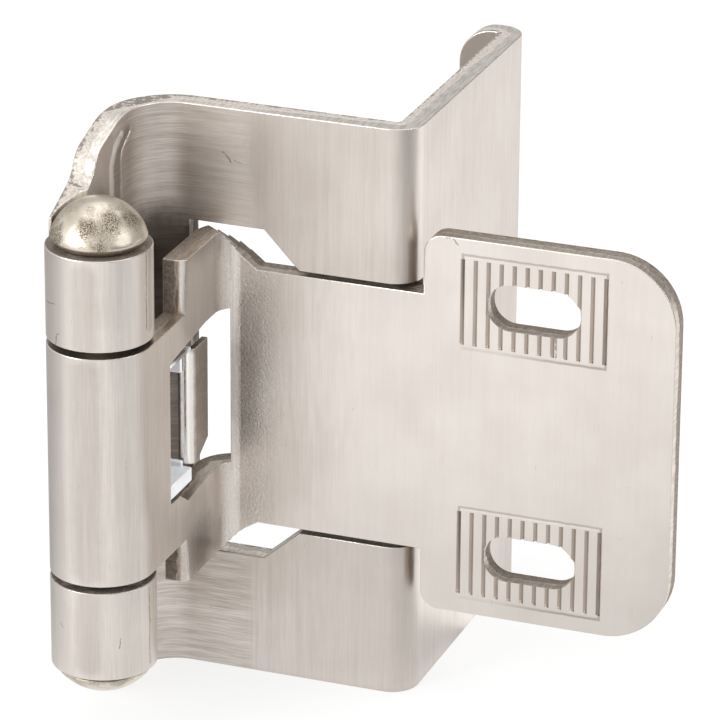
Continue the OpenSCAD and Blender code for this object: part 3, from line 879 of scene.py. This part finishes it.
class SheetWing(Piece):
    """A wing pressed from sheet, whose faces know how they lie in the sheet."""

    def centre_line(self) -> list[tuple[float, float]]:
        """The middle of the sheet in plan, from the pin's centre in millimetres."""
        raise NotImplementedError

    def across(self, x: float, y: float) -> float:
        """Where a point lies in the sheet's thickness.

        Args:
            x: The point's place in plan, from the pin's centre in millimetres.
            y: The same along the other axis.

        Returns:
            -1 on the side that faces the bore and the front, 1 on the other side.
        """
        here = Vector((x, y))
        best, side = 1e9, 0.0
        for start, end in zip(self.line, self.line[1:]):
            a, b = Vector(start), Vector(end)
            run = b - a
            share = min(1.0, max(0.0, (here - a).dot(run) / run.length_squared))
            off = here - (a + run * share)
            if off.length < best:
                best = off.length
                side = math.copysign(off.length, run.cross(off))
        return max(-1.0, min(1.0, side / (SHEET_T / 2)))

    def gets_recess_shade(self, face: bmesh.types.BMFace) -> bool:
        """Whether a face gets painted shade as a recess, such as a groove."""
        return False

    def soften_ends(self, mesh: bmesh.types.BMesh) -> None:
        """Rounds the ends that the press drew over. A plain wing has none."""

    def mark_sheet(self, mesh: bmesh.types.BMesh) -> None:
        """Marks each corner's place across the sheet, and the faces that were cut or get painted shade as recesses."""
        self.line = self.centre_line()
        recess_shade = mesh.faces.layers.float.new("recess_shade")
        across = mesh.verts.layers.float.new("across")
        cut = mesh.faces.layers.float.new("cut_edge")
        for vert in mesh.verts:
            vert[across] = self.across(vert.co.x / MM - PIN_X, vert.co.y / MM - PIN_Y)
        for face in mesh.faces:
            sides = [v[across] for v in face.verts]
            middle = face.calc_center_median() / MM
            level = abs(face.normal.z) > 0.5 and max(sides) - min(sides) > 1.2
            upright = abs(face.normal.z) <= 0.5 and abs(self.across(middle.x - PIN_X, middle.y - PIN_Y)) < 0.7
            face[cut] = 1.0 if level or upright else 0.0
            face[recess_shade] = 1.0 if self.gets_recess_shade(face) else 0.0

    def build(self, material: bpy.types.Material) -> bpy.types.Object:
        """Builds the wing with broken edges.

        Args:
            material: The wing's finish.

        Returns:
            The finished wing.
        """
        mesh = self.solid()
        self.mark_sheet(mesh)
        self.soften_ends(mesh)
        self.break_edges(mesh, 0.075, segments=3)
        return self.finish_piece(mesh, material)


@dataclass
class FrameWing(SheetWing):
    """The wing that wraps round the face frame."""

    wide_bend_r: float = 3.0
    tight_bend_r: float = 0.3
    lip_len: float = 4.5
    barrel_len: float = 29.4
    outline_y: tuple[float, float] = (1.5, 9.4)
    outline_z: float = 15.0
    outline_round: float = 0.8

    def __post_init__(self) -> None:
        """Names the piece."""
        super().__init__("frame_wing", "frame", "satin_nickel")

    def soften_ends(self, mesh: bmesh.types.BMesh) -> None:
        """Rounds the corners of the web's outline, which the press left soft."""
        edges = []
        for edge in mesh.edges:
            ends = [v.co / MM - Vector((PIN_X, PIN_Y, 0.0)) for v in edge.verts]
            crosses = abs(ends[0].y - ends[1].y) < 0.01 and abs(ends[0].z - ends[1].z) < 0.01
            in_web = all(p.x < -BORE_R + 0.01 and self.outline_y[0] < p.y < self.outline_y[1] for p in ends)
            if crosses and in_web and abs(ends[0].z) > self.outline_z and edge.calc_face_angle(0.0) > math.radians(8):
                edges.append(edge)
        bmesh.ops.bevel(mesh, geom=edges, offset=self.outline_round * MM, offset_type="OFFSET", segments=5,
                        profile=0.5, affect="EDGES", clamp_overlap=True)

    def gets_recess_shade(self, face: bmesh.types.BMFace) -> bool:
        """Whether a face is one of the rings round the pin's two heads, which get a painted contact shadow."""
        middle = face.calc_center_median() / MM - Vector((PIN_X, PIN_Y, 0.0))
        return abs(face.normal.z) > 0.9 and abs(abs(middle.z) - self.barrel_len / 2) < 0.05

    def centre_line(self) -> list[tuple[float, float]]:
        """The curl, web, front plate, edge plate and lip, in that order."""
        half = SHEET_T / 2
        wide = self.wide_bend_r + half
        tight = self.tight_bend_r + half
        wide_x = -BORE_R + self.wide_bend_r
        tight_x = EDGE_X - self.tight_bend_r - SHEET_T
        back_y = PLATE_Y + 2 * SHEET_T + CHANNEL_D
        return (
            arc((0, 0), BARREL_R - half, 125, -180)
            + arc((wide_x, PLATE_Y - self.wide_bend_r), wide, 180, 90)
            + arc((tight_x, PLATE_Y + SHEET_T + self.tight_bend_r), tight, -90, 0)
            + arc((tight_x, back_y - SHEET_T - self.tight_bend_r), tight, 0, 90)
            + [(EDGE_X - self.lip_len, back_y - half)]
        )


@dataclass
class DoorWing(SheetWing):
    """The wing that the door is screwed to, with its two grooved pads."""

    door_bend_r: float = 1.3
    flange_x: float = 17.6
    flange_w: float = 17.3
    slot_inset: float = 7.6
    slot_pitch: float = 17.9
    pad_w: float = 9.8
    pad_h: float = 6.0
    ear_y: float = 5.9
    ear_round: float = 0.6

    def __post_init__(self) -> None:
        """Names the piece."""
        super().__init__("door_wing", "door", "satin_nickel")

    def centre_line(self) -> list[tuple[float, float]]:
        """The curl, web and flange, in that order."""
        half = SHEET_T / 2
        middle = self.door_bend_r + half
        bend = (BARREL_R + self.door_bend_r, PLATE_Y - self.door_bend_r)
        return (
            arc((0, 0), BARREL_R - half, 55, 360)
            + arc(bend, middle, 180, 90)
            + [(self.flange_x + self.flange_w, PLATE_Y + half)]
        )

    def on_pad(self, point: Vector) -> bool:
        """Whether a point in millimetres lies on the front of one of the pads."""
        x = point.x - PIN_X - self.flange_x - self.slot_inset
        z = abs(point.z) - self.slot_pitch / 2
        return abs(x) < self.pad_w / 2 + 0.3 and abs(z) < self.pad_h / 2 + 0.1 and point.y - PIN_Y < PLATE_Y + SHEET_T / 2

    def rounds_off(self, edge: bmesh.types.BMEdge) -> bool:
        """All sharp outer edges but those of the grooves, which stay crisp."""
        return super().rounds_off(edge) and not self.on_pad((edge.verts[0].co + edge.verts[1].co) / (2 * MM))

    def soften_ends(self, mesh: bmesh.types.BMesh) -> None:
        """Rounds the front ends of the two ears, which the punch drew over."""
        worn = mesh.faces.layers.float.get("worn") or mesh.faces.layers.float.new("worn")
        edges = []
        for edge in mesh.edges:
            ends = [v.co / MM - Vector((PIN_X, PIN_Y, 0.0)) for v in edge.verts]
            at_end = all(abs(p.x - BARREL_R) < 0.05 and abs(p.y - self.ear_y) < 0.05 for p in ends)
            if at_end and abs(ends[0].z - ends[1].z) > 0.5:
                edges.append(edge)
        made = bmesh.ops.bevel(mesh, geom=edges, offset=self.ear_round * MM, offset_type="OFFSET", segments=5,
                               profile=0.5, affect="EDGES", clamp_overlap=False)
        for face in made["faces"]:
            face[worn] = 1.0

    def gets_recess_shade(self, face: bmesh.types.BMFace) -> bool:
        """Whether a face lies in one of the grooves, which get painted shade."""
        middle = face.calc_center_median() / MM
        return self.on_pad(middle) and middle.y - PIN_Y > PLATE_Y + 0.02


class HingePin(Piece):
    """The riveted pin."""

    def __init__(self) -> None:
        """Names the piece."""
        super().__init__("hinge_pin", "frame", "bright_nickel")

    def build(self, material: bpy.types.Material) -> bpy.types.Object:
        """Builds the pin with softened rims."""
        mesh = self.solid()
        self.break_edges(mesh, 0.15, segments=3)
        return self.finish_piece(mesh, material, smooth=50)


class CloserSpring(Piece):
    """The folded strip that presses on the follower."""

    def __init__(self) -> None:
        """Names the piece."""
        super().__init__("closer_spring", "door", "spring_steel")
        self.head = (-0.0122, -0.0143, 0.0)
        self.nose = (-0.0122, -0.0161, 0.0)
        self.nose_y = -16.8
        self.nose_round = 0.5

    def build(self, material: bpy.types.Material) -> bpy.types.Object:
        """Builds the spring with a rounded nose and smooth strip edges."""
        mesh = self.solid()
        corners = []
        for edge in mesh.edges:
            start, end = (v.co / MM for v in edge.verts)
            upright = abs(end.z - start.z) > 0.98 * (end - start).length
            if upright and abs(start.y - self.nose_y) < 0.02 and abs(end.y - self.nose_y) < 0.02:
                corners.append(edge)
        bmesh.ops.bevel(mesh, geom=corners, offset=self.nose_round * MM, offset_type="OFFSET", segments=5,
                        profile=0.5, affect="EDGES", clamp_overlap=True)
        self.break_edges(mesh, 0.08)
        return self.finish_piece(mesh, material)

    def attach(self, made: bpy.types.Object) -> None:
        """Leaves the spring without a body and bakes its place into the mesh."""
        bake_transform(made)


class CamFollower(Piece):
    """The nylon block between the spring and the pin."""

    def __init__(self) -> None:
        """Names the piece."""
        super().__init__("cam_follower", "follower", "white_nylon")

    def build(self, material: bpy.types.Material) -> bpy.types.Object:
        """Builds the follower with moulded corners."""
        mesh = self.solid()
        self.break_edges(mesh, 0.12)
        return self.finish_piece(mesh, material)


@dataclass(frozen=True)
class PhotoCamera:
    """The camera at the photograph's viewing angle."""

    azimuth: float = 20.363
    elevation: float = 22.233
    roll: float = 0.417
    distance: float = 340.95
    target: Point = (-5.543, -2.172, -0.263)
    lens: float = 250.0
    sensor: float = 36.0

    def build(self) -> bpy.types.Object:
        """Builds the camera and makes it the scene's own.

        Returns:
            The camera.
        """
        az, el, roll = (math.radians(a) for a in (self.azimuth, self.elevation, self.roll))
        back = Vector((math.sin(az) * math.cos(el), -math.cos(az) * math.cos(el), math.sin(el)))
        right = Vector((math.cos(az), math.sin(az), 0.0))
        up = back.cross(right)
        turned_right = right * math.cos(roll) + up * math.sin(roll)
        turned_up = up * math.cos(roll) - right * math.sin(roll)
        data = bpy.data.cameras.new("photo_camera")
        data.lens = self.lens
        data.sensor_width = self.sensor
        data.clip_start = 0.01
        data.clip_end = 50.0
        made = bpy.data.objects.new("photo_camera", data)
        bpy.context.scene.collection.objects.link(made)
        turn = Matrix((turned_right, turned_up, back)).transposed().to_4x4()
        made.matrix_world = Matrix.Translation((Vector(self.target) + back * self.distance) * MM) @ turn
        bpy.context.scene.camera = made
        return made


@dataclass(frozen=True)
class Studio:
    """A white table under soft lamps."""

    floor_size: float = 6.0
    floor_glow: float = 0.75
    front_glow: float = 1.17
    right_dip: float = 0.32
    left_dip: float = 0.70
    back_rise: float = 0.40
    back_dip: float = 0.16
    world_low: float = 0.40
    world_high: float = 0.90

    def mirrored_glow(self, graph: Graph) -> bpy.types.NodeSocket:
        """How light the floor looks where metal mirrors it: lighter in front than at the sides, and dimmer close to the
        hinge, a painted shadow round its foot.
        """
        here = graph.node("ShaderNodeTexCoord").outputs["Object"]
        away = graph.vector("NORMALIZE", here).outputs[0]
        right = graph.vector("DOT_PRODUCT", away, (0.94, -0.33, 0.0)).outputs["Value"]
        left = graph.vector("DOT_PRODUCT", away, (-0.97, 0.24, 0.0)).outputs["Value"]
        level = graph.number("SUBTRACT", self.front_glow, graph.ramp(right, 0.25, 1.0, 0.0, self.right_dip))
        level = graph.number("SUBTRACT", level, graph.ramp(left, 0.18, 1.0, 0.0, self.left_dip))
        behind = graph.vector("DOT_PRODUCT", away, (0.85, 0.52, 0.0)).outputs["Value"]
        level = graph.number("ADD", level, graph.ramp(behind, 0.7, 1.0, 0.0, self.back_rise))
        beyond = graph.vector("DOT_PRODUCT", away, (0.35, 0.94, 0.0)).outputs["Value"]
        level = graph.number("SUBTRACT", level, graph.ramp(beyond, 0.85, 1.0, 0.0, self.back_dip))
        # Painted shadow: dimmer close to the hinge.
        far = graph.vector("DISTANCE", here, (0.0, -0.03, 0.0)).outputs["Value"]
        return graph.number("MULTIPLY", level, graph.ramp(far, 0.004, 0.036, 0.76, 1.0))

    def build_floor(self) -> bpy.types.Object:
        """Builds the pale floor under the hinge.

        Returns:
            The floor, which isn't part of the hinge.
        """
        mesh = bmesh.new()
        bmesh.ops.create_grid(mesh, x_segments=4, y_segments=4, size=self.floor_size / 2)
        data = bpy.data.meshes.new("floor")
        mesh.to_mesh(data)
        mesh.free()
        floor = bpy.data.objects.new("floor", data)
        floor.location.z = CAD_BOX[0][2]
        bpy.context.scene.collection.objects.link(floor)
        material = bpy.data.materials.new("white_table")
        material.use_nodes = True
        graph = Graph(material.node_tree)
        path = graph.node("ShaderNodeLightPath")
        matt = graph.node("ShaderNodeBsdfDiffuse")
        matt.inputs["Color"].default_value = (0.92, 0.92, 0.92, 1.0)
        glow = graph.node("ShaderNodeEmission")
        glow.inputs["Color"].default_value = (1.0, 1.0, 1.0, 1.0)
        graph.feed(glow.inputs["Strength"], graph.blend(path.outputs["Is Glossy Ray"], 1.0, self.mirrored_glow(graph)))
        seen = graph.number("MAXIMUM", path.outputs["Is Camera Ray"], path.outputs["Is Transmission Ray"])
        share = graph.number("MAXIMUM", graph.number("MULTIPLY", seen, self.floor_glow), path.outputs["Is Glossy Ray"])
        both = graph.node("ShaderNodeMixShader")
        graph.feed(both.inputs[0], share)
        graph.feed(both.inputs[1], matt.outputs[0])
        graph.feed(both.inputs[2], glow.outputs[0])
        out = graph.node("ShaderNodeOutputMaterial")
        graph.feed(out.inputs["Surface"], both.outputs[0])
        floor.data.materials.append(material)
        return floor

    def build_world(self) -> None:
        """White for the camera, and a soft sky that is brighter at the front left."""
        world = bpy.data.worlds.new("studio")
        bpy.context.scene.world = world
        world.use_nodes = True
        graph = Graph(world.node_tree)
        where = graph.node("ShaderNodeTexCoord").outputs["Generated"]
        facing = graph.vector("DOT_PRODUCT", where, (-0.55, -0.65, 0.52)).outputs["Value"]
        level = graph.ramp(facing, -0.8, 1.0, self.world_low, self.world_high)
        path = graph.node("ShaderNodeLightPath")
        seen = graph.number("MAXIMUM", path.outputs["Is Camera Ray"], path.outputs["Is Transmission Ray"])
        shown = graph.node("ShaderNodeBackground")
        graph.feed(shown.inputs["Color"], (1.0, 1.0, 1.0))
        graph.feed(shown.inputs["Strength"], graph.blend(seen, level, 1.0))
        out = graph.node("ShaderNodeOutputWorld")
        graph.feed(out.inputs["Surface"], shown.outputs[0])

    def add_lamp(self, name: str, place: Point, size: float, power: float) -> None:
        """Adds a soft round lamp that looks at the hinge.

        Args:
            name: Its name.
            place: Where it hangs, in metres.
            size: Its diameter, in metres.
            power: Its power, in watts.
        """
        data = bpy.data.lights.new(name, "AREA")
        data.shape = "DISK"
        data.size = size
        data.energy = power
        made = bpy.data.objects.new(name, data)
        made.location = place
        made.rotation_euler = (-Vector(place)).to_track_quat("-Z", "Y").to_euler()
        bpy.context.scene.collection.objects.link(made)

    def add_card(self, name: str, place: Point, width: float, height: float, shade: float) -> None:
        """Stands a grey card beside the hinge, which only its metal mirrors.

        Args:
            name: Its name.
            place: The middle of its lower edge, in metres. It faces the hinge.
            width: Its width, in metres.
            height: Its height, in metres.
            shade: How light it is, from 0 to 1.
        """
        across = Vector((-place[1], place[0], 0.0)).normalized() * (width / 2)
        foot = Vector(place)
        rise = Vector((0.0, 0.0, height))
        data = bpy.data.meshes.new(name)
        data.from_pydata([foot - across, foot + across, foot + across + rise, foot - across + rise], [], [(0, 1, 2, 3)])
        card = bpy.data.objects.new(name, data)
        bpy.context.scene.collection.objects.link(card)
        material = bpy.data.materials.new(name)
        material.use_nodes = True
        graph = Graph(material.node_tree)
        glow = graph.node("ShaderNodeEmission")
        glow.inputs["Color"].default_value = (shade, shade, shade, 1.0)
        out = graph.node("ShaderNodeOutputMaterial")
        graph.feed(out.inputs["Surface"], glow.outputs[0])
        data.materials.append(material)
        card.visible_camera = False
        card.visible_diffuse = False
        card.visible_shadow = False

    def build(self) -> None:
        """Builds the floor, the surroundings and the lamps."""
        self.build_floor()
        self.build_world()
        self.add_lamp("key", (-0.38, -0.48, 0.3), 0.36, 2.6)
        self.add_lamp("top", (0.0, 0.15, 0.7), 0.9, 1.8)
        self.add_lamp("fill", (0.54, -0.06, 0.26), 0.22, 1.8)
        self.add_card("flag_right", (0.11, -0.045, -0.02), 0.16, 0.12, 0.25)


def main() -> None:
    """Builds the hinge's looks, the studio and the camera."""
    logging.basicConfig(level=logging.INFO, format="%(message)s")
    bpy.context.scene.view_settings.view_transform = "Standard"
    PhotoCamera().build()
    Studio().build()
    effects = Effects.build()
    frame_finish = FrameNickel(
        effects,
        name="satin_nickel_frame",
        edge_light=(0.84, 0.79, 0.73),
        edge_dark_and_shade=(0.24, 0.19, 0.16),
        recess_shading=0.6,
        tearing=0.2,
        crumbling=0.6,
        scratches=(
            ((-16.98, -27.07, 9.27), (-17.21, -26.94, 8.38), 0.09),
            ((-16.98, -27.07, 9.30), (-16.77, -27.18, 9.35), 0.07),
            ((-17.95, -26.28, 11.11), (-17.09, -27.01, 11.29), 0.06),
            ((-13.01, -26.65, -11.73), (-13.06, -26.69, -12.44), 0.07),
            ((-11.83, -24.48, 16.3), (-11.83, -24.48, 9.4), 0.08),
            ((-11.83, -24.48, -8.8), (-11.83, -24.48, -14.2), 0.08),
            ((-11.84, -23.44, -8.6), (-11.99, -22.86, -10.05), 0.07),
            ((-11.8, -11.5, 17.1), (-11.2, -11.5, 16.5), 0.09),
            ((-11.0, -11.5, 16.6), (-10.5, -11.5, 16.5), 0.05),
        ),
        # Wide strokes are painted shade over the knuckles and the web's top; narrow ones are smudge marks.
        smudges_and_shade=(
            ((-14.9, -27.6, 13.6), (-14.9, -27.6, 9.0), 1.3),
            ((-14.9, -27.6, -9.0), (-14.9, -27.6, -13.6), 1.3),
            ((-17.09, -27.01, -11.12), (-14.6, -27.43, -13.18), 0.12),
            ((-11.75, -23.95, 16.3), (-11.75, -23.95, 9.4), 0.45),
            ((-16.6, -15.2, 18.6), (-16.6, -15.2, 13.5), 1.9),
            ((-16.4, -14.6, 17.6), (-16.4, -14.6, 13.5), 1.3),
        ),
        # Painted shade in the pockets round the knuckle and the ear.
        painted_shade_spots=(
            ((-16.2, -12.6, 9.0), 2.4, 5.2),
            ((-16.2, -12.6, 5.0), 2.4, 5.0),
            ((-14.2, -10.8, 10.6), 1.0, 2.0),
            ((-17.2, -20.3, 14.2), 0.3, 3.8),
        ),
        # The crease along the web, with painted shade along its groove.
        creases_with_shade=(
            ((-17.2, -16.5, -17.3), (-17.2, -16.5, 17.3), 0.9),
            ((-17.2, -16.5, 17.3), (-17.2, -15.9, 18.3), 0.7),
            ((-17.2, -15.9, 18.3), (-17.0, -14.6, 18.9), 0.5),
            ((-17.0, -14.6, 18.9), (-16.3, -13.0, 19.1), 0.35),
            ((-17.2, -16.5, -17.3), (-17.2, -15.9, -18.3), 0.7),
        ),
        # Painted highlight beside the crease.
        ridges_with_highlight=(
            ((-17.2, -17.4, -17.4), (-17.2, -17.4, 17.4), 0.5),
            ((-17.2, -17.4, 17.4), (-17.2, -16.8, 18.4), 0.5),
            ((-17.2, -16.8, 18.4), (-17.1, -15.7, 19.0), 0.4),
            ((-17.2, -17.4, -17.4), (-17.2, -16.8, -18.4), 0.5),
        ),
    ).build()
    door_finish = DoorNickel(
        effects,
        name="satin_nickel_door",
        edge_light=(0.60, 0.53, 0.46),
        edge_dark_and_shade=(0.16, 0.125, 0.10),
        pads=((9.95, -11.5, 8.95), (9.95, -11.5, -8.95)),
        scratches=(
            ((11.51, -11.5, 7.5), (11.45, -11.5, 5.97), 0.09),
            ((3.83, -11.5, 13.3), (4.2, -11.5, 13.35), 0.06),
            ((4.2, -11.5, 13.35), (4.64, -11.5, 12.87), 0.06),
            ((1.01, -11.5, 9.3), (1.98, -11.5, 10.2), 0.1),
        ),
        painted_shade_strength=0.6,
        # Painted shade on the lower ear.
        painted_shade_spots=(
            ((-11.8, -15.6, -9.5), 0.3, 3.2),
        ),
        shadows=(
            ((-11.1, -11.9, 4.6), (-11.1, -11.9, -2.8), 3.4),
            ((-10.9, -11.8, 3.6), (-10.9, -11.8, -1.8), 2.6),
            ((-10.7, -11.7, 2.6), (-10.7, -11.7, -0.8), 1.8),
        ),
        # Wide strokes are painted shade over the knuckle and the ears; narrow ones are smudge marks.
        smudges_and_shade=(
            ((-14.9, -27.6, 7.0), (-14.9, -27.6, -7.0), 1.5),
            ((2.2, -11.5, 13.3), (1.95, -11.5, 10.4), 0.5),
            ((1.65, -11.5, -9.9), (1.65, -11.5, -11.7), 0.5),
            ((-14.6, -11.5, -11.3), (-12.9, -11.5, -11.8), 0.7),
            ((-11.8, -18.3, 11.0), (-11.8, -16.8, 7.2), 2.4),
            ((-11.8, -15.8, 10.0), (-11.8, -15.4, 7.6), 3.2),
            ((-11.8, -16.3, -6.9), (-11.8, -15.9, -9.2), 3.2),
        ),
    ).build()
    FrameWing().build(frame_finish)
    DoorWing().build(door_finish)
    HingePin().build(BrightNickel(effects).build())
    CloserSpring().build(SpringSteel(effects).build())
    CamFollower().build(WhiteNylon(effects).build())


if __name__ == "__main__":
    main()
